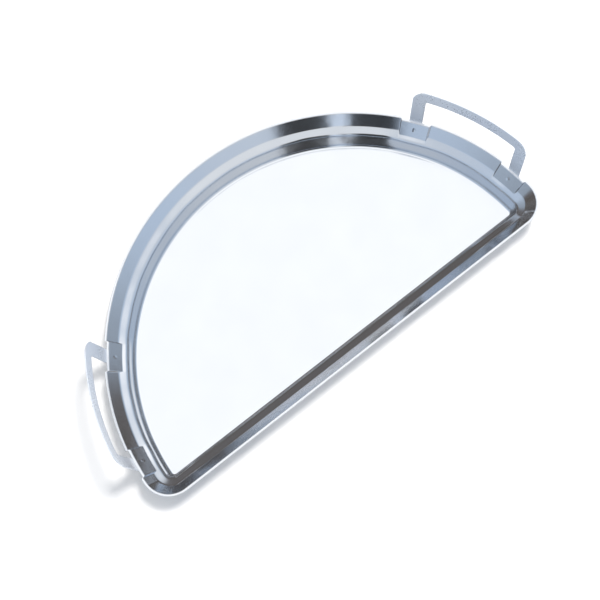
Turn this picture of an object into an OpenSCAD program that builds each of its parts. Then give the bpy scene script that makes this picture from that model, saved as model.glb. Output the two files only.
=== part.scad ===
// Half-round counting tray in pressed stainless steel, with a flared collar
// and two strap handles spot-welded to the outside of the collar.
//
// Units are millimetres and +Z is up.  The origin is at the middle of the
// pan outline in plan, on the plane of the flat underside.  X runs along
// the straight side, Y points from the straight side to the curved side.

/* [Pan outline] */
// Outer radius of the curved rim
rim_radius = 240; // [180:1:300]
// Distance from the arc centre to the straight rim
chord_offset = 22; // [4:0.5:26]
// Outer radius of the two rim corners
corner_radius = 29; // [28.5:0.5:50]
// Thickness of the pressed sheet
sheet = 1.5; // [0.8:0.1:2]

/* [Pan wall] */
// Depth from the rim to the upper face of the floor
pan_depth = 31; // [26:0.5:45]
// Inset of the bend between the flared collar and the ledge
gutter_inset = 11.5; // [8:0.1:14]
// Depth of that bend below the rim
gutter_depth = 10.2; // [8:0.1:13]
// Inset of the step at the inner end of the ledge
step_inset = 20.4; // [15:0.1:21]
// Depth of the step below the rim
step_depth = 13.4; // [12:0.1:18]
// Inset of the foot of the wall
foot_inset = 23.3; // [22:0.1:26]
// Bend radius of the gutter, on the middle of the sheet
gutter_bend = 5; // [2:0.1:7]
// Bend radius of the step, on the middle of the sheet
step_bend = 4; // [2:0.1:5]
// Bend radius at the foot, on the middle of the sheet
foot_bend = 4.2; // [3:0.1:7]

/* [Handle seats] */
// Depth of the flat seats pressed into the wall
seat_depth = 2.4; // [1.6:0.1:4]
// Angle covered by one seat
seat_angle = 7.4; // [5:0.1:9]
// Angle from the middle of the curve to the far seat
far_seat = 55.7; // [45:0.1:60]
// Angle from the middle of the curve to the near seat
near_seat = 82.9; // [70:0.1:84]

/* [Handles] */
// Thickness of the handle strap
strap = 1.5; // [1:0.1:2.5]
// Distance between the middles of the two legs of a handle
leg_span = 112.8; // [95:0.1:125]
// Width of the two handle legs
leg_width = 13.5; // [10:0.5:18]
// Width of the grip bar
bar_width = 14.5; // [10:0.5:18]
// Height of the grip bar above the rim
handle_rise = 50; // [28:0.5:60]
// Lean of the loop away from upright
handle_lean = 9.5; // [6:0.5:25]
// Reach of the welded tabs below the rim
tab_reach = 9; // [7:0.5:10]
// Outer corner radius of the loop
loop_corner = 14; // [8:0.5:20]
// Inner corner radius of the loop
eye_corner = 2.5; // [1:0.5:6]

/* [Spot welds] */
// Diameter of a spot weld
weld_diameter = 5; // [3:0.5:7]
// Depth of the dimple left on each face
weld_dimple = 0.3; // [0.1:0.05:0.5]
// Depth of the weld centres below the rim
weld_depth = 5.5; // [4:0.5:6]

/* [Hidden] */
$fn = 96;
half = sheet / 2;
deck = pan_depth + half;
total_depth = pan_depth + sheet;
flange_inset = foot_inset + 3.6;
floor_inset = foot_inset + 4.9;
seam = 0.02;
corner_overlap = 1.3;
collar_run = gutter_inset - 0.72 * sheet;
collar_lean = atan2(collar_run, gutter_depth);
collar_slope = collar_run / gutter_depth;
collar_face = half / cos(collar_lean);
ledge_slope = (step_inset - gutter_inset) / (gutter_depth - step_depth);
corner_y = corner_radius - chord_offset;
corner_x = sqrt(pow(rim_radius - corner_radius, 2) - pow(corner_y, 2));
arc_start = atan2(corner_y, corner_x);
y_middle = (rim_radius - chord_offset) / 2;
seat_reach = seat_angle / 2;
curve_end = 90 - arc_start;
bend_steps = 6;
web_inset = 0.15;
seat_foot = (gutter_inset - collar_face - seat_depth
             + gutter_depth * ledge_slope)
            / (ledge_slope + collar_slope) + 0.4;
web_angle = sheet / rim_radius * 180 / PI;
handle_angle = (far_seat + near_seat) / 2;
leg_spread = leg_span / 2;
leg_angle = asin(leg_spread / rim_radius);
leg_angles = [handle_angle - leg_angle, handle_angle + leg_angle];
front_reach = tab_reach + 2 * strap;
rise_width = handle_rise + front_reach;

// Sub-part to draw, or all of them

// ---------------------------------------------------------------- sheet

// Corners of the wall on the middle of the sheet, as inset and height
rim_point = [collar_face, 0];
gutter_point = [gutter_inset, -gutter_depth];
step_point = [step_inset, -step_depth];
foot_point = [foot_inset, -deck];
floor_point = [floor_inset, -deck];

function unit(v) = v / norm(v);
function turned(v, a) = [v[0] * cos(a) - v[1] * sin(a),
                         v[0] * sin(a) + v[1] * cos(a)];

// Bend of middle radius r at corner b of the path a, b, c, as a list of
// [point, left normal]
function bend(a, b, c, r) =
    let (u = unit(b - a), v = unit(c - b),
         angle = acos(u * v), way = sign(cross(u, v)),
         centre = b - u * r * tan(angle / 2) + turned(u, 90 * way) * r,
         first = turned(u, -90 * way))
    [for (i = [0:bend_steps])
        let (d = turned(first, way * angle * i / bend_steps))
        [centre + d * r, -way * d]];

// Bends of the wall, from below the rim to the floor
wall_path =
    concat(bend(rim_point, gutter_point, step_point, gutter_bend),
           bend(gutter_point, step_point, foot_point, step_bend),
           bend(step_point, foot_point, floor_point, foot_bend),
           [[[flange_inset, -deck], [0, 1]]]);

// One face of the sheet along a path
function face(path, offset) = [for (q = path) q[0] + q[1] * offset];
function backwards(v) = [for (i = [len(v) - 1:-1:0]) v[i]];

// Section of the wall as one bent sheet, from the flat land of the rim to
// a thinner tongue that runs into the floor; a corner is a seam thinner
module wall_section(thinner = 0) {
    thick = half - thinner;
    tongue = thick - 2 * seam;
    land = [collar_face - thinner, 0];
    top = rim_point - [0, thinner];
    polygon(concat([top + land], face(wall_path, thick),
                   [[flange_inset, tongue - deck],
                    [floor_inset, tongue - deck],
                    [floor_inset, -tongue - deck],
                    [flange_inset, -tongue - deck]],
                   backwards(face(wall_path, -thick)), [top - land]));
}

// Middle of the sheet in a seat, at a height against the rim
function seat_line(z) = [collar_face + seat_depth - z * collar_slope, z];

// Sheet of a seat: the collar moved inward, down to the ledge
module seat_section() {
    across = [collar_face, 0];
    top = seat_line(0);
    foot = seat_line(-seat_foot);
    polygon([top + across, foot + across, foot - across, top - across]);
}

// Flat web between the collar and the end of a seat
module seat_web_section() {
    outer = face(wall_path, web_inset - half);
    top = [2 * web_inset, -web_inset];
    polygon(concat([top], [for (i = [0:bend_steps - 2]) outer[i]],
                   [seat_line(0.6 - seat_foot), seat_line(-web_inset)]));
}

// Metal outside a seat, cleared before the seat is added
module seat_window_section() {
    clear = 5;
    low = -gutter_depth - clear;
    polygon([[-clear, clear], seat_line(clear), seat_line(low),
             [-clear, low]]);
}

// Turns a section so that it can be swept about a centre
module swept(radius) {
    translate([radius, 0]) mirror([1, 0]) children();
}

// Outline of the tray in plan, offset inward by a distance
module outline(inset) {
    far = 2 * rim_radius;
    intersection() {
        circle(r = rim_radius - inset, $fn = 360);
        polygon([[corner_x, corner_y], [far, far * tan(arc_start)],
                 [far, far], [-far, far], [-far, far * tan(arc_start)],
                 [-corner_x, corner_y]]);
    }
    translate([-corner_x, inset - chord_offset])
        square([2 * corner_x, corner_radius - inset]);
    for (side = [-1, 1])
        translate([side * corner_x, corner_y])
            circle(r = corner_radius - inset);
}

// Places children at an angle left (+) or right (-) of the curve's middle
module at_angle(a) {
    rotate([0, 0, 90 + a]) children();
}

// Sweeps a section along the curve between two angles from the middle
module sweep_arc(from, to) {
    rotate([0, 0, 90 + from])
        rotate_extrude(angle = to - from, $fn = 360)
            swept(rim_radius) children();
}

// ---------------------------------------------------------------- welds

// Axis of each spot weld, square to the wall of its seat
module at_weld(a) {
    at_angle(a)
        translate([rim_radius - seat_line(-weld_depth)[0],
                   0, -weld_depth])
            rotate([0, 90 + collar_lean, 0]) children();
}

module weld_shape() {
    length = sheet + strap - 2 * weld_dimple;
    translate([0, 0, weld_dimple - half]) cylinder(h = length,
                                                   d = weld_diameter);
}

module weld_hole() {
    translate([0, 0, -2 * sheet])
        cylinder(h = 5 * sheet, d = weld_diameter);
}

module welds(side) {
    color([0.62, 0.63, 0.64])
        for (a = leg_angles) at_weld(side * a) weld_shape();
}

// ------------------------------------------------------------------ pan

// Curved wall with its four handle seats
module curved_wall() {
    seats = [-near_seat, -far_seat, far_seat, near_seat];
    difference() {
        sweep_arc(-curve_end, curve_end) wall_section();
        for (a = seats)
            sweep_arc(a - seat_reach, a + seat_reach) seat_window_section();
    }
    for (a = seats) {
        sweep_arc(a - seat_reach - web_angle / 3,
                  a + seat_reach + web_angle / 3) seat_section();
        for (end = [-1, 1])
            at_angle(a + end * seat_reach)
                rotate([90, 0, 0]) linear_extrude(sheet, center = true)
                    swept(rim_radius) seat_web_section();
    }
}

// Corner that runs a little way into the walls on both sides of it
module corner_wall() {
    translate([corner_x, corner_y, 0])
        rotate([0, 0, -90 - corner_overlap])
            rotate_extrude(angle = 90 + arc_start + 2 * corner_overlap,
                           $fn = 180)
                swept(corner_radius) wall_section(seam);
}

module straight_wall() {
    translate([-corner_x, -chord_offset, 0])
        rotate([90, 0, 90]) linear_extrude(2 * corner_x) wall_section();
}

module pan_wall() {
    curved_wall();
    corner_wall();
    mirror([1, 0, 0]) corner_wall();
    straight_wall();
}

module pressed_pan() {
    color([0.80, 0.81, 0.82]) difference() {
        union() {
            pan_wall();
            translate([0, 0, -total_depth])
                linear_extrude(sheet) outline(flange_inset + 0.2);
        }
        for (a = leg_angles, side = [-1, 1])
            at_weld(side * a) weld_hole();
    }
}

// -------------------------------------------------------------- handles

// Conical strip: the tab lies on the seat, the loop leans from the rim
module strap_section() {
    face = rim_radius - seat_depth;
    lean = tan(handle_lean);
    tab_thick = strap / cos(collar_lean);
    loop_thick = strap / cos(handle_lean);
    knee = (tab_thick - loop_thick) / (collar_slope - lean);
    low = face - tab_reach * collar_slope;
    top = face + handle_rise * lean;
    polygon([[low, -tab_reach], [face, 0], [top, handle_rise],
             [top + loop_thick, handle_rise],
             [face + loop_thick - knee * lean, -knee],
             [low + strap * cos(collar_lean),
              -tab_reach - strap * sin(collar_lean)]]);
}

// Front view of the loop: grip bar, two legs and the two tabs
module loop_front() {
    outer = leg_spread + leg_width / 2;
    inner = leg_spread - leg_width / 2;
    bar = bar_width * cos(handle_lean);
    difference() {
        union() {
            translate([-outer, -front_reach])
                square([2 * outer, rise_width - loop_corner]);
            translate([-outer + loop_corner, -front_reach])
                square([2 * (outer - loop_corner), rise_width]);
            for (side = [-1, 1])
                translate([side * (outer - loop_corner),
                           handle_rise - loop_corner])
                    circle(r = loop_corner);
        }
        translate([-inner, -front_reach - 1])
            square([2 * inner, rise_width + 1 - bar - eye_corner]);
        translate([-inner + eye_corner, -front_reach - 1])
            square([2 * (inner - eye_corner), rise_width + 1 - bar]);
        for (side = [-1, 1])
            translate([side * (inner - eye_corner),
                       handle_rise - bar - eye_corner])
                circle(r = eye_corner);
    }
}

module handle(side) {
    sweep = near_seat - far_seat + 14;
    color([0.76, 0.77, 0.79]) difference() {
        intersection() {
            rotate([0, 0, 90 + side * handle_angle - sweep / 2])
                rotate_extrude(angle = sweep, $fn = 360)
                    strap_section();
            at_angle(side * handle_angle)
                translate([rim_radius / 2, 0, 0])
                    rotate([90, 0, 90])
                        linear_extrude(rim_radius) loop_front();
        }
        for (a = leg_angles) at_weld(side * a) weld_hole();
    }
}

module place() {
    translate([0, -y_middle, total_depth]) children();
}

module tray_pan() { place() pressed_pan(); }
module left_handle() { place() handle(1); }
module right_handle() { place() handle(-1); }
module left_handle_welds() { place() welds(1); }
module right_handle_welds() { place() welds(-1); }

tray_pan();
left_handle();
right_handle();
left_handle_welds();
right_handle_welds();
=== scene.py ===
import math

import bpy
from mathutils import Matrix, Vector


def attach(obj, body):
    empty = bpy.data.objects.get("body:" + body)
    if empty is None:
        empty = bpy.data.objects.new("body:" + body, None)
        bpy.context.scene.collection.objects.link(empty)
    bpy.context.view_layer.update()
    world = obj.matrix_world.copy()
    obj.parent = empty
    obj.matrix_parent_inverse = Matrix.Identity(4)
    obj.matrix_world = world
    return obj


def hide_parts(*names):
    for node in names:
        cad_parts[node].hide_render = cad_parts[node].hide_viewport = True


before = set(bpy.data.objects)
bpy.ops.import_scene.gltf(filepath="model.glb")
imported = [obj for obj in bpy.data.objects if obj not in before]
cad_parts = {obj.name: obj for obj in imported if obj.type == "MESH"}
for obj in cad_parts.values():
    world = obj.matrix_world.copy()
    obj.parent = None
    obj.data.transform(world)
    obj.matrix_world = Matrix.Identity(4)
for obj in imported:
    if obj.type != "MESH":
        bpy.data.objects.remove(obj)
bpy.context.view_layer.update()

# ------------------------------------------------------------ sizes, in mm
RIM_RADIUS = 240.0
CHORD_OFFSET = 22.0        # from the arc centre to the straight rim
CORNER_RADIUS = 29.0
SHEET = 1.5
HALF = SHEET / 2
PAN_DEPTH = 31.0
TOTAL_DEPTH = PAN_DEPTH + SHEET
DECK = PAN_DEPTH + HALF    # from the rim to the middle of the floor's sheet

# Corners of the wall on the middle of the sheet, as inset and height
GUTTER = (11.5, -10.2)
STEP = (20.4, -13.4)
FOOT = (23.3, -DECK)
FLOOR_EDGE = 27.6
FLOOR_STRIP = 0.6          # width of the strip between the wall and the floor's face
RIM_EASE = 0.22            # rounding of the rim's two edges
GUTTER_BEND = 5.0
STEP_BEND = 4.0
FOOT_BEND = 4.2
COLLAR_SLOPE = (GUTTER[0] - 0.72 * SHEET) / -GUTTER[1]
COLLAR_FACE = HALF * math.hypot(1, COLLAR_SLOPE)
LEDGE_SLOPE = (STEP[0] - GUTTER[0]) / (STEP[1] - GUTTER[1])

# Flat seats for the handles, with angles from the middle of the curve
SEAT_DEPTH = 2.4
SEAT_BEND = 1.5
SEAT_REACH = 3.7
SEAT_EDGE = 0.19           # half the angle over which a seat's end steps in
FAR_SEAT = 55.7
NEAR_SEAT = 82.9
STEP_PULL = 0.95           # how far the step was drawn inward beside a seat
PULL_REACH = 7.5           # angle over which that dies out
WAVES_FROM = 78.0          # angles between which the pull and the waves die out
WAVES_TO = 87.5
SEATS = (-NEAR_SEAT, -FAR_SEAT, FAR_SEAT, NEAR_SEAT)

# Strap handles
STRAP = 1.5
STRAP_ROUND = 0.55         # rounding of the cut edges
LEG_WIDTH = 13.5
BAR_WIDTH = 14.5
LEG_SPREAD = 112.8 / 2
HANDLE_RISE = 50.0
HANDLE_LEAN = math.radians(9.5)
TAB_REACH = 9.0
LOOP_CORNER = 14.0
EYE_CORNER = 2.5
KNEE = 0.8                 # half the height over which the strap bends
HANDLE_ANGLE = (FAR_SEAT + NEAR_SEAT) / 2
LEG_ANGLE = math.degrees(math.asin(LEG_SPREAD / RIM_RADIUS))

# Spot welds
WELD_DEPTH = 5.5
WELD_DIP = 0.34            # depth of the dimple
WELD_FLAT = 0.7            # radius of the dimple's flat middle
WELD_EDGE = 2.0925         # radius at which the dimple ends
WELD_PUSH = 0.93           # outward move of the collar for each part of the dip
WELD_ANGLES = [side * HANDLE_ANGLE + leg for side in (-1, 1) for leg in (-LEG_ANGLE, LEG_ANGLE)]

# Plan outline
CORNER_Y = CORNER_RADIUS - CHORD_OFFSET
CORNER_X = math.sqrt((RIM_RADIUS - CORNER_RADIUS) ** 2 - CORNER_Y ** 2)
ARC_START = math.atan2(CORNER_Y, CORNER_X)
CURVE_END = 90 - math.degrees(ARC_START)
Y_MIDDLE = (RIM_RADIUS - CHORD_OFFSET) / 2

# Mesh steps
GUTTER_ROWS = 10
STEP_ROWS = 14
FOOT_ROWS = 12
COLLAR_ROWS = 20
LEDGE_ROWS = 4
WALL_ROWS = 6
CURVE_STEPS = 210
FINE_STEPS = range(-8, 9)  # about a seat's end or a weld
SEAT_END_STEP = 0.055      # degrees
WELD_STEP = 0.09
CLOSEST = 0.012            # places nearer than this are one
CORNER_STEPS = 44
SIDE_STEPS = 60
LEG_STEPS = 40
BEND_STEPS = 20
BAR_STEPS = 60
WELD_STEPS = 24


def to_row(x, y, z):
    """A point in mm about the arc centre at rim height, in metres in the row frame."""
    return Vector((x, y - Y_MIDDLE, z + TOTAL_DEPTH)) * 0.001


def smooth(a, b, x):
    """0 up to a, 1 from b on, and a smooth rise between them."""
    t = min(max((x - a) / (b - a), 0.0), 1.0)
    return t * t * t * (t * (6 * t - 15) + 10)


def unit(v):
    return v / v.length


def direction(angle):
    """Plan direction at an angle in radians."""
    return Vector((math.cos(angle), math.sin(angle)))


def new_mesh(name, verts, faces):
    mesh = bpy.data.meshes.new(name)
    mesh.from_pydata([tuple(v) for v in verts], [], faces)
    mesh.update()
    for polygon in mesh.polygons:
        polygon.use_smooth = True
    made = bpy.data.objects.new(name, mesh)
    bpy.context.scene.collection.objects.link(made)
    return made


# ------------------------------------------------------------ wall section
def bend(a, b, c, radius, steps):
    """Points and left normals of a bend of middle radius at b, between a and c."""
    u = unit(b - a)
    v = unit(c - b)
    angle = math.acos(max(-1, min(1, u.dot(v))))
    way = 1 if u.x * v.y - u.y * v.x > 0 else -1
    left = Vector((-u.y, u.x)) * way
    centre = b - u * (radius * math.tan(angle / 2)) + left * radius
    out = []
    for i in range(steps + 1):
        t = way * angle * i / steps
        d = Vector((-left.x * math.cos(t) + left.y * math.sin(t),
                    -left.x * math.sin(t) - left.y * math.cos(t)))
        out.append((centre + d * radius, d * -way))
    return out


def straight(p, q, steps):
    """Points strictly between two points of a section, with one normal."""
    return [(p[0].lerp(q[0], i / steps), p[1]) for i in range(1, steps)]


def wall_path(press, pull):
    """The middle of the sheet from rim to floor, with the collar pressed inward by
    one distance and the step pulled inward by another."""
    drop = press / (LEDGE_SLOPE + COLLAR_SLOPE)
    rim = Vector((COLLAR_FACE + press, 0))
    gutter = Vector((GUTTER[0] + drop * LEDGE_SLOPE, GUTTER[1] + drop))
    step = Vector((STEP[0] + pull, STEP[1]))
    foot = Vector(FOOT)
    end = Vector((FLOOR_EDGE, -DECK))
    gutter_bend = GUTTER_BEND + (SEAT_BEND - GUTTER_BEND) * press / SEAT_DEPTH
    down = unit(gutter - rim)
    first = (rim, Vector((-down.y, down.x)))
    bend_1 = bend(rim, gutter, step, gutter_bend, GUTTER_ROWS)
    bend_2 = bend(gutter, step, foot, STEP_BEND, STEP_ROWS)
    bend_3 = bend(step, foot, end, FOOT_BEND, FOOT_ROWS)
    return ([first] + straight(first, bend_1[0], COLLAR_ROWS)
            + bend_1 + straight(bend_1[-1], bend_2[0], LEDGE_ROWS)
            + bend_2 + straight(bend_2[-1], bend_3[0], WALL_ROWS)
            + bend_3 + [(end, Vector((0, 1)))])


def section(press, pull):
    """Closed section of the sheet as inset and height: the upper face, the lower face
    and the level land of the rim with its two edges eased."""
    path = wall_path(press, pull)
    top = [p + n * HALF for p, n in path]
    under = [p - n * HALF for p, n in reversed(path)]
    inner = press + 2 * COLLAR_FACE
    top[0] = Vector((inner + RIM_EASE * COLLAR_SLOPE, -RIM_EASE))
    under[-1] = Vector((press + RIM_EASE * COLLAR_SLOPE, -RIM_EASE))
    # inset and drop of each point of the land's edges, in shares of RIM_EASE
    outer_edge = ((0.62, 0.3), (1.5, 0.02), (2.2, 0))
    inner_edge = ((-1.2, 0), (-0.5, 0.04), (0.35, 0.35))
    land = [Vector((press + RIM_EASE * across, -RIM_EASE * down)) for across, down in outer_edge]
    land.append(Vector((press + COLLAR_FACE, 0)))
    land += [Vector((inner + RIM_EASE * across, -RIM_EASE * down)) for across, down in inner_edge]
    return top, under, land


def press_at(angle):
    """How far the collar is pressed inward at an angle of the curve."""
    if angle is None:
        return 0.0
    nearest = min(abs(angle - seat) for seat in SEATS)
    return SEAT_DEPTH * (1 - smooth(SEAT_REACH - SEAT_EDGE, SEAT_REACH + SEAT_EDGE, nearest))


def pull_at(angle):
    """How far the step was drawn inward beside the seats, with slow waves, dying out
    before the corners."""
    if angle is None:
        return 0.0
    nearest = min(abs(angle - seat) for seat in SEATS)
    drawn = STEP_PULL * (1 - smooth(0.0, PULL_REACH, nearest))
    waves = 0.16 * math.sin(0.31 * angle + 0.6) + 0.10 * math.sin(0.83 * angle + 2.0)
    return (drawn + waves) * (1 - smooth(WAVES_FROM, WAVES_TO, abs(angle)))


def weld_dip(angle, z):
    """Depth of the spot-weld dimple at a place on the collar."""
    if angle is None:
        return 0.0
    nearest = min(WELD_ANGLES, key=lambda weld: abs(angle - weld))
    along = math.radians(angle - nearest) * RIM_RADIUS
    down = (z + WELD_DEPTH) * math.hypot(1, COLLAR_SLOPE)
    away = math.hypot(along, down)
    return WELD_DIP * (1 - smooth(WELD_FLAT, WELD_EDGE, away))


# ----------------------------------------------------------------- the pan
def curve_angles():
    """Angles from the middle of the curve, closer at the seats' ends and the welds."""
    marks = [-CURVE_END + 2 * CURVE_END * i / CURVE_STEPS for i in range(CURVE_STEPS + 1)]
    for seat in SEATS:
        for end in (seat - SEAT_REACH, seat + SEAT_REACH):
            marks += [end + k * SEAT_END_STEP for k in FINE_STEPS]
    for weld in WELD_ANGLES:
        marks += [weld + k * WELD_STEP for k in FINE_STEPS]
    kept = [-CURVE_END]
    for mark in sorted(marks):
        if mark - kept[-1] > CLOSEST:
            kept.append(mark)
    return kept


def stations():
    """Places round the tray, each a point of the rim, the inward direction there, and
    the angle from the middle of the curve, which is None off the curve."""
    curve = []
    for angle in curve_angles():
        d = direction(math.radians(90 + angle))
        curve.append((d * RIM_RADIUS, -d, angle))
    corner = []
    for i in range(1, CORNER_STEPS + 1):
        d = direction(math.pi - ARC_START + (math.pi / 2 + ARC_START) * i / CORNER_STEPS)
        corner.append((Vector((-CORNER_X, CORNER_Y)) + d * CORNER_RADIUS, -d, None))
    side = []
    for i in range(1, SIDE_STEPS):
        x = -CORNER_X + 2 * CORNER_X * i / SIDE_STEPS
        side.append((Vector((x, -CHORD_OFFSET)), Vector((0, 1)), None))
    other_corner = [(Vector((-p.x, p.y)), Vector((-d.x, d.y)), None)
                    for p, d, angle in reversed(corner)]
    return curve + corner + side + other_corner


def build_pan():
    """The wall as rings of one section, closed by the floor's two faces."""
    places = stations()
    count = len(places)
    verts = []
    faces = []
    for point, inward, angle in places:
        top, under, land = section(press_at(angle), pull_at(angle))
        for i, q in enumerate(top + under + land):
            inset = q.x
            if 0 < i <= COLLAR_ROWS:
                inset -= weld_dip(angle, q.y) * WELD_PUSH
            xy = point + inward * inset
            verts.append(to_row(xy.x, xy.y, q.y))
    ring = len(verts) // count
    top_end = len(top) - 1
    for i in range(count):
        a = i * ring
        b = (i + 1) % count * ring
        for j in range(ring):
            if j != top_end:
                k = (j + 1) % ring
                faces.append((a + j, b + j, b + k, a + k))
    # the floor: a narrow flat strip, then one flat face, above and below
    upper = [i * ring + top_end for i in range(count)]
    lower = [i + 1 for i in upper]
    upper_floor = [len(verts) + 2 * i for i in range(count)]
    lower_floor = [i + 1 for i in upper_floor]
    for point, inward, angle in places:
        xy = point + inward * (FLOOR_EDGE + FLOOR_STRIP)
        verts.append(to_row(xy.x, xy.y, -PAN_DEPTH))
        verts.append(to_row(xy.x, xy.y, -TOTAL_DEPTH))
    for i in range(count):
        k = (i + 1) % count
        faces.append((upper[i], upper[k], upper_floor[k], upper_floor[i]))
        faces.append((lower[k], lower[i], lower_floor[i], lower_floor[k]))
    faces.append(tuple(upper_floor))
    faces.append(tuple(reversed(lower_floor)))
    return new_mesh("pressed_tray", verts, faces)


# ------------------------------------------------------------- the handles
def strap_line(z):
    """Radius and slope of the strap's inner face at a height above the rim."""
    face = RIM_RADIUS - SEAT_DEPTH
    lean = math.tan(HANDLE_LEAN)
    if z < -KNEE:
        return face + z * COLLAR_SLOPE, COLLAR_SLOPE
    if z > KNEE:
        return face + z * lean, lean
    turn = (lean - COLLAR_SLOPE) / (4 * KNEE)
    radius = face + z * COLLAR_SLOPE + turn * (z + KNEE) ** 2
    return radius, COLLAR_SLOPE + 2 * turn * (z + KNEE)


def strap_point(side, s, z, depth):
    """Point of a handle: s along the grip towards the straight side, z above the rim,
    and a depth through the strap from its inner face."""
    middle = math.radians(HANDLE_ANGLE)
    radius, slope = strap_line(z)
    length = math.hypot(1, slope)
    r = radius + depth / length
    away = math.sqrt(r * r - s * s)
    x = -side * (math.sin(middle) * away + math.cos(middle) * s)
    y = math.cos(middle) * away - math.sin(middle) * s
    return to_row(x, y, z - depth * slope / length)


def loop_pairs():
    """Outer and inner edge points of the loop from tab to tab, each as (s, z)."""
    outer = LEG_SPREAD + LEG_WIDTH / 2
    inner = LEG_SPREAD - LEG_WIDTH / 2
    eye = HANDLE_RISE - BAR_WIDTH * math.cos(HANDLE_LEAN)
    outer_leg = HANDLE_RISE - LOOP_CORNER
    inner_leg = eye - EYE_CORNER
    leg = []
    for i in range(LEG_STEPS):
        t = i / LEG_STEPS
        leg.append(((-outer, -TAB_REACH + (outer_leg + TAB_REACH) * t),
                    (-inner, -TAB_REACH + (inner_leg + TAB_REACH) * t)))
    for i in range(BEND_STEPS):
        a = math.pi / 2 * i / BEND_STEPS
        across = 1 - math.cos(a)
        up = math.sin(a)
        leg.append(((-outer + LOOP_CORNER * across, outer_leg + LOOP_CORNER * up),
                    (-inner + EYE_CORNER * across, inner_leg + EYE_CORNER * up)))
    bar = []
    for i in range(BAR_STEPS + 1):
        t = 2 * i / BAR_STEPS - 1
        bar.append((((outer - LOOP_CORNER) * t, HANDLE_RISE), ((inner - EYE_CORNER) * t, eye)))
    back = [((-o[0], o[1]), (-q[0], q[1])) for o, q in reversed(leg)]
    return leg + bar + back


def strap_profile():
    """Closed section of the strap: share across, shift from that edge, and depth."""
    arc = [math.radians(a) for a in (0, 22.5, 45, 67.5, 90)]
    rounds = [(STRAP_ROUND * (1 - math.cos(a)), STRAP_ROUND * (1 - math.sin(a))) for a in arc]
    outside = [(0, shift, STRAP - gap) for shift, gap in rounds]
    outside += [(share, 0, STRAP) for share in (0.2, 0.4, 0.6, 0.8)]
    outside += [(1, -shift, STRAP - gap) for shift, gap in reversed(rounds)]
    inside = [(share, shift, STRAP - depth) for share, shift, depth in reversed(outside)]
    return outside + inside


def build_handle(side, name):
    pairs = loop_pairs()
    profile = strap_profile()
    ring = len(profile)
    verts = []
    for outer, inner in pairs:
        across = Vector((inner[0] - outer[0], inner[1] - outer[1]))
        for share, shift, depth in profile:
            p = Vector(outer) + across * share + unit(across) * shift
            verts.append(strap_point(side, p.x, p.y, depth))
    faces = []
    for i in range(len(pairs) - 1):
        a = i * ring
        b = a + ring
        for j in range(ring):
            k = (j + 1) % ring
            faces.append((a + k, b + k, b + j, a + j))
    last = (len(pairs) - 1) * ring
    faces.append(tuple(reversed(range(ring))))
    faces.append(tuple(range(last, last + ring)))
    if side < 0:
        faces = [tuple(reversed(face)) for face in faces]
    return new_mesh(name, verts, faces)


# --------------------------------------------------------------- the welds
def weld_axis(side, leg):
    """Place on the middle of the wall, and the outward direction square to it."""
    flat = direction(math.radians(90 + side * HANDLE_ANGLE + leg)).to_3d()
    lean = math.atan(COLLAR_SLOPE)
    up = Vector((0, 0, 1))
    radius = RIM_RADIUS - COLLAR_FACE - SEAT_DEPTH - WELD_DEPTH * COLLAR_SLOPE
    return flat * radius - up * WELD_DEPTH, flat * math.cos(lean) - up * math.sin(lean)


def weld_section():
    """Radius and distance along the axis, from the dimple through the core to the tab."""
    dimple = WELD_DIP - HALF
    tab = HALF + STRAP
    return [(0.0, dimple - 0.03), (0.35, dimple - 0.04), (0.7, dimple - 0.045),
            (0.95, dimple - 0.02), (1.05, dimple + 0.05), (1.05, 0.4),
            (1.6, tab - 0.25), (1.6, tab + 0.01), (1.2, tab + 0.03), (0.0, tab - 0.02)]


def build_welds(side, name):
    """The two welds of a handle, each one turned solid."""
    verts = []
    faces = []
    for leg in (-LEG_ANGLE, LEG_ANGLE):
        centre, normal = weld_axis(side, leg)
        u = normal.orthogonal().normalized()
        v = normal.cross(u)
        rings = []
        for radius, distance in weld_section():
            steps = WELD_STEPS if radius else 1
            rings.append([len(verts) + i for i in range(steps)])
            for i in range(steps):
                a = 2 * math.pi * i / steps
                p = centre + normal * distance + (u * math.cos(a) + v * math.sin(a)) * radius
                verts.append(to_row(*p))
        for a, b in zip(rings, rings[1:]):
            for i in range(WELD_STEPS):
                k = (i + 1) % WELD_STEPS
                if len(a) == 1:
                    faces.append((a[0], b[k], b[i]))
                elif len(b) == 1:
                    faces.append((a[i], a[k], b[0]))
                else:
                    faces.append((a[i], a[k], b[k], b[i]))
    return new_mesh(name, verts, faces)


# --------------------------------------------------------------- materials
# Detail of the clouds and smears, height of the waves in metres, strength of
# the polishing lines, and the squash that draws the lines out
FINISHES = {
    "sheet": {"metallic": 1.0, "clouds": 4, "smears": 5, "waves": 0.0004,
              "lines": 0.2, "squash": (1.0, 0.12, 1.0)},
    "strap": {"metallic": 0.48, "clouds": 0, "smears": 2, "waves": 0.00002,
              "lines": 0.04, "squash": (1.0, 1.0, 0.15)},
}


def new_material(name):
    made = bpy.data.materials.new(name)
    made.use_nodes = True
    bsdf = next(n for n in made.node_tree.nodes if n.type == "BSDF_PRINCIPLED")
    return made, bsdf


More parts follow.
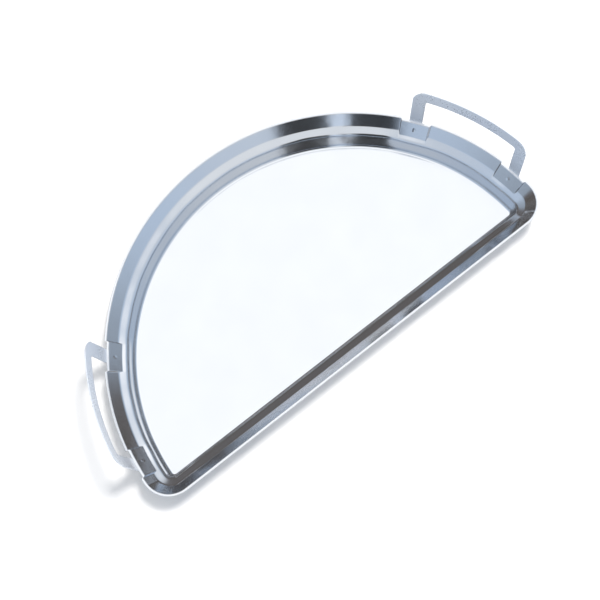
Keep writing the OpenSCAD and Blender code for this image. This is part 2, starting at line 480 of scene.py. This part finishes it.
def steel(name, base, rough, kind):
    """Stainless steel with a clouded polish, smears, slow waves and fine lines."""
    finish = FINISHES[kind]
    made, bsdf = new_material(name)
    add = made.node_tree.nodes.new
    link = made.node_tree.links.new
    bsdf.inputs["Metallic"].default_value = finish["metallic"]
    bsdf.inputs["IOR"].default_value = 2.5
    place = add("ShaderNodeTexCoord").outputs["Object"]

    def noise(source, scale, detail):
        node = add("ShaderNodeTexNoise")
        node.inputs["Scale"].default_value = scale
        node.inputs["Detail"].default_value = detail
        link(source, node.inputs["Vector"])
        return node.outputs["Fac"]

    def span(source, low, high, first, last):
        node = add("ShaderNodeMapRange")
        node.inputs["From Min"].default_value = low
        node.inputs["From Max"].default_value = high
        node.inputs["To Min"].default_value = first
        node.inputs["To Max"].default_value = last
        link(source, node.inputs["Value"])
        return node.outputs["Result"]

    def bump(source, strength, distance):
        node = add("ShaderNodeBump")
        node.inputs["Strength"].default_value = strength
        node.inputs["Distance"].default_value = distance
        link(source, node.inputs["Height"])
        return node

    clouds = add("ShaderNodeValToRGB")
    dull, bright = clouds.color_ramp.elements
    dull.position = 0.35
    dull.color = (base[0] * 0.975, base[1] * 0.975, base[2] * 0.98, 1)
    bright.position = 0.7
    bright.color = (*base, 1)
    link(noise(place, 22, finish["clouds"]), clouds.inputs["Fac"])
    link(clouds.outputs["Color"], bsdf.inputs["Base Color"])

    smears = span(noise(place, 35, finish["smears"]), 0.3, 0.75, rough * 0.9, rough * 1.15)
    grain = span(noise(place, 900, 2), 0.3, 0.7, -rough * 0.12, rough * 0.12)
    total = add("ShaderNodeMath")
    total.operation = "ADD"
    link(smears, total.inputs[0])
    link(grain, total.inputs[1])
    link(total.outputs[0], bsdf.inputs["Roughness"])

    drawn = add("ShaderNodeMapping")
    drawn.inputs["Scale"].default_value = finish["squash"]
    link(place, drawn.inputs["Vector"])
    waves = bump(noise(place, 40, 2), 0.35, finish["waves"])
    lines = bump(noise(drawn.outputs["Vector"], 2600, 3), finish["lines"], 0.000004)
    link(waves.outputs["Normal"], lines.inputs["Normal"])
    link(lines.outputs["Normal"], bsdf.inputs["Normal"])
    return made


def place_piece(piece, look, node):
    """Gives a piece its material and puts it in the place of a CAD node."""
    piece.data.materials.append(look)
    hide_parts(node)
    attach(piece, "root")


pan_steel = steel("polished_steel", (0.80, 0.81, 0.825), 0.11, "sheet")
strap_steel = steel("strap_steel", (0.93, 0.95, 0.98), 0.30, "strap")
weld_steel = steel("weld_steel", (0.20, 0.20, 0.21), 0.42, "strap")

place_piece(build_pan(), pan_steel, "tray_pan")
for side, name in ((1, "left"), (-1, "right")):
    place_piece(build_handle(side, name + "_strap_loop"), strap_steel, name + "_handle")
    place_piece(build_welds(side, name + "_weld_spots"), weld_steel, name + "_handle_welds")

# ------------------------------------------------------------------- floor
GROUND = 6.0               # half the side of the floor, in metres
GROUND_DROP = -0.0005      # just under the tray

ground = new_mesh("ground", [(x * GROUND, y * GROUND, GROUND_DROP)
                             for x, y in ((-1, -1), (1, -1), (1, 1), (-1, 1))], [(0, 1, 2, 3)])
pale_floor, paper = new_material("pale_floor")
paper.inputs["Base Color"].default_value = (0.92, 0.90, 0.875, 1)
paper.inputs["Roughness"].default_value = 0.9
ground.data.materials.append(pale_floor)

# ------------------------------------------------------------------ camera
SENSOR = 36
FRAME_SIDE = 600
FOCAL = 1200.0             # focal length on a frame of that side
TILT = math.radians(17.245)
TURN = math.radians(22.567)
ROLL = math.radians(15.878)
ARC_CENTRE = Vector((45.82, -36.04, -1166.22))   # as the camera sees it, in mm

camera_data = bpy.data.cameras.new("camera")
camera_data.sensor_width = SENSOR
camera_data.lens = SENSOR * FOCAL / FRAME_SIDE
camera_data.clip_end = 20
camera = bpy.data.objects.new("camera", camera_data)
bpy.context.scene.collection.objects.link(camera)
facing_object = (Matrix.Rotation(ROLL, 3, "Z") @ Matrix.Rotation(-TILT, 3, "X")
                 @ Matrix.Rotation(TURN, 3, "Z")).transposed()
eye = to_row(*-(facing_object @ ARC_CENTRE))
camera.matrix_world = Matrix.Translation(eye) @ facing_object.to_4x4()
bpy.context.scene.camera = camera

# -------------------------------------------------------------------- room
# The room is brighter on one side, has a dark strip with a slit of light in
# it opposite the top of the curve, and a white soft box overhead.
BRIGHT_SIDE = (-0.14, -0.54, 0.0)
DARK_STRIP = (-0.616, -0.788, 0.0)
OVERHEAD = (0.178, 0.228, 0.957)
UP = (0.0, 0.0, 1.0)
BLACK = (0.0, 0.0, 0.0)
WHITE = (1.0, 1.0, 1.0)
SOFT_BOX = (1.20, 1.23, 1.27)

world = bpy.data.worlds.new("studio")
world.use_nodes = True
bpy.context.scene.world = world
room = world.node_tree
backdrop = room.nodes["Background"]


def room_node(kind, **values):
    node = room.nodes.new(kind)
    for name, value in values.items():
        setattr(node, name, value)
    return node


def facing(source, towards):
    """How far a direction points along a fixed one."""
    dot = room_node("ShaderNodeVectorMath", operation="DOT_PRODUCT")
    dot.inputs[1].default_value = towards
    room.links.new(source, dot.inputs[0])
    return dot.outputs["Value"]


def room_ramp(source, low, high, stops):
    """Colours by the value of a source, each stop a value and its colour."""
    reach = room_node("ShaderNodeMapRange")
    reach.inputs["From Min"].default_value = low
    reach.inputs["From Max"].default_value = high
    room.links.new(source, reach.inputs["Value"])
    ramp = room_node("ShaderNodeValToRGB")
    ramp.color_ramp.interpolation = "EASE"
    band = ramp.color_ramp.elements
    while len(band) < len(stops):
        band.new(0.5)
    for element, (value, colour) in zip(band, stops):
        element.position = (value - low) / (high - low)
        element.color = (*colour, 1)
    room.links.new(reach.outputs["Result"], ramp.inputs["Fac"])
    return ramp.outputs["Color"]


def room_mix(share, first, second, how="MIX"):
    """Mixes two colours, where the share and each colour is a value or a socket."""
    mix = room_node("ShaderNodeMix", data_type="RGBA", blend_type=how)
    if isinstance(share, float):
        mix.inputs[0].default_value = share
    else:
        room.links.new(share, mix.inputs[0])
    for socket, value in ((mix.inputs[6], first), (mix.inputs[7], second)):
        if isinstance(value, tuple):
            socket.default_value = (*value, 1)
        else:
            room.links.new(value, socket)
    return mix.outputs[2]


looking = room_node("ShaderNodeTexCoord").outputs["Generated"]
flatten = room_node("ShaderNodeVectorMath", operation="MULTIPLY")
flatten.inputs[1].default_value = (1.0, 1.0, 0.0)
room.links.new(looking, flatten.inputs[0])
level = room_node("ShaderNodeVectorMath", operation="NORMALIZE")
room.links.new(flatten.outputs["Vector"], level.inputs[0])
bearing = level.outputs["Vector"]
height = facing(looking, UP)
tone = room_node("ShaderNodeMath", operation="ADD")
room.links.new(height, tone.inputs[0])
room.links.new(facing(bearing, BRIGHT_SIDE), tone.inputs[1])

walls = room_ramp(tone.outputs["Value"], -0.6, 1.5, [
    (-0.30, (0.17, 0.165, 0.165)), (-0.02, (0.12, 0.11, 0.105)),
    (0.12, (0.15, 0.145, 0.15)), (0.31, (0.33, 0.39, 0.47)),
    (0.78, (0.52, 0.63, 0.79)), (1.12, (0.64, 0.71, 0.81)),
    (1.38, (0.82, 0.86, 0.91))])
strip = room_ramp(facing(bearing, DARK_STRIP), 0.9, 1.0, [
    (0.922, WHITE), (0.955, (0.07, 0.065, 0.06)),
    (0.9972, (0.09, 0.085, 0.08)), (0.9999, (1.25, 1.25, 1.25))])
strip_ends = room_ramp(height, -1.0, 1.0, [
    (0.05, BLACK), (0.22, WHITE), (0.78, WHITE), (0.90, BLACK)])
low_wall = room_ramp(height, -1.0, 1.0, [(-0.02, (0.55, 0.53, 0.52)), (0.22, WHITE)])
overhead = room_ramp(facing(looking, OVERHEAD), 0.0, 1.0, [(0.86, BLACK), (0.95, WHITE)])

walls = room_mix(1.0, walls, room_mix(strip_ends, WHITE, strip), "MULTIPLY")
walls = room_mix(1.0, walls, low_wall, "MULTIPLY")
room.links.new(room_mix(overhead, walls, SOFT_BOX), backdrop.inputs["Color"])
backdrop.inputs["Strength"].default_value = 1.0


# ------------------------------------------------------------------ lights
def soft_box(name, side, power, place):
    """A square light aimed at the tray and kept out of the reflections."""
    light = bpy.data.lights.new(name, "AREA")
    light.shape = "RECTANGLE"
    light.size = side
    light.size_y = side
    light.energy = power
    light.color = (1.0, 0.985, 0.965)
    box = bpy.data.objects.new(name, light)
    bpy.context.scene.collection.objects.link(box)
    box.location = place
    box.rotation_euler = (-Vector(place)).to_track_quat("-Z", "Y").to_euler()
    box.visible_glossy = False


soft_box("fill", 3.0, 14, (0, 0, 2.5))
soft_box("key", 0.45, 33, (0.58, -0.03, 1.92))

bpy.context.scene.view_settings.view_transform = "Standard"
